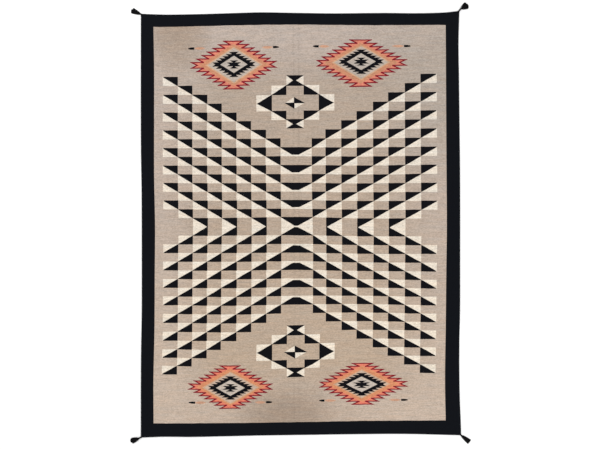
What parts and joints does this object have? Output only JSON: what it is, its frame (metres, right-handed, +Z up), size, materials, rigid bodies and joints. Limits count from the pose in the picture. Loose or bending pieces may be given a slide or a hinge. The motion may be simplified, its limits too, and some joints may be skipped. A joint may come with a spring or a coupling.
{
  "type": "flatweave rug",
  "caption": "Large rectangular wool flatweave rug with a dark border, stepped triangle and diamond pattern, and a yarn tassel at each corner.",
  "frame": {"origin": "middle of the rug on its underside, where it rests on the floor", "axes": "+Z up through the rug, +Y along its length towards the top of the pattern, +X to the right across its width"},
  "size_m": [1.9605, 2.5473, 0.0078],
  "materials": {
    "woven_wool": "matt weft-faced wool, heathered grey-beige with black, cream, red and orange weft",
    "black_yarn": "matt black plied wool yarn"
  },
  "bodies": {
    "root": {"rug": "woven_wool", "tassel_top_left": "black_yarn", "tassel_top_right": "black_yarn", "tassel_bottom_left": "black_yarn", "tassel_bottom_right": "black_yarn"}
  },
  "joints": []
}
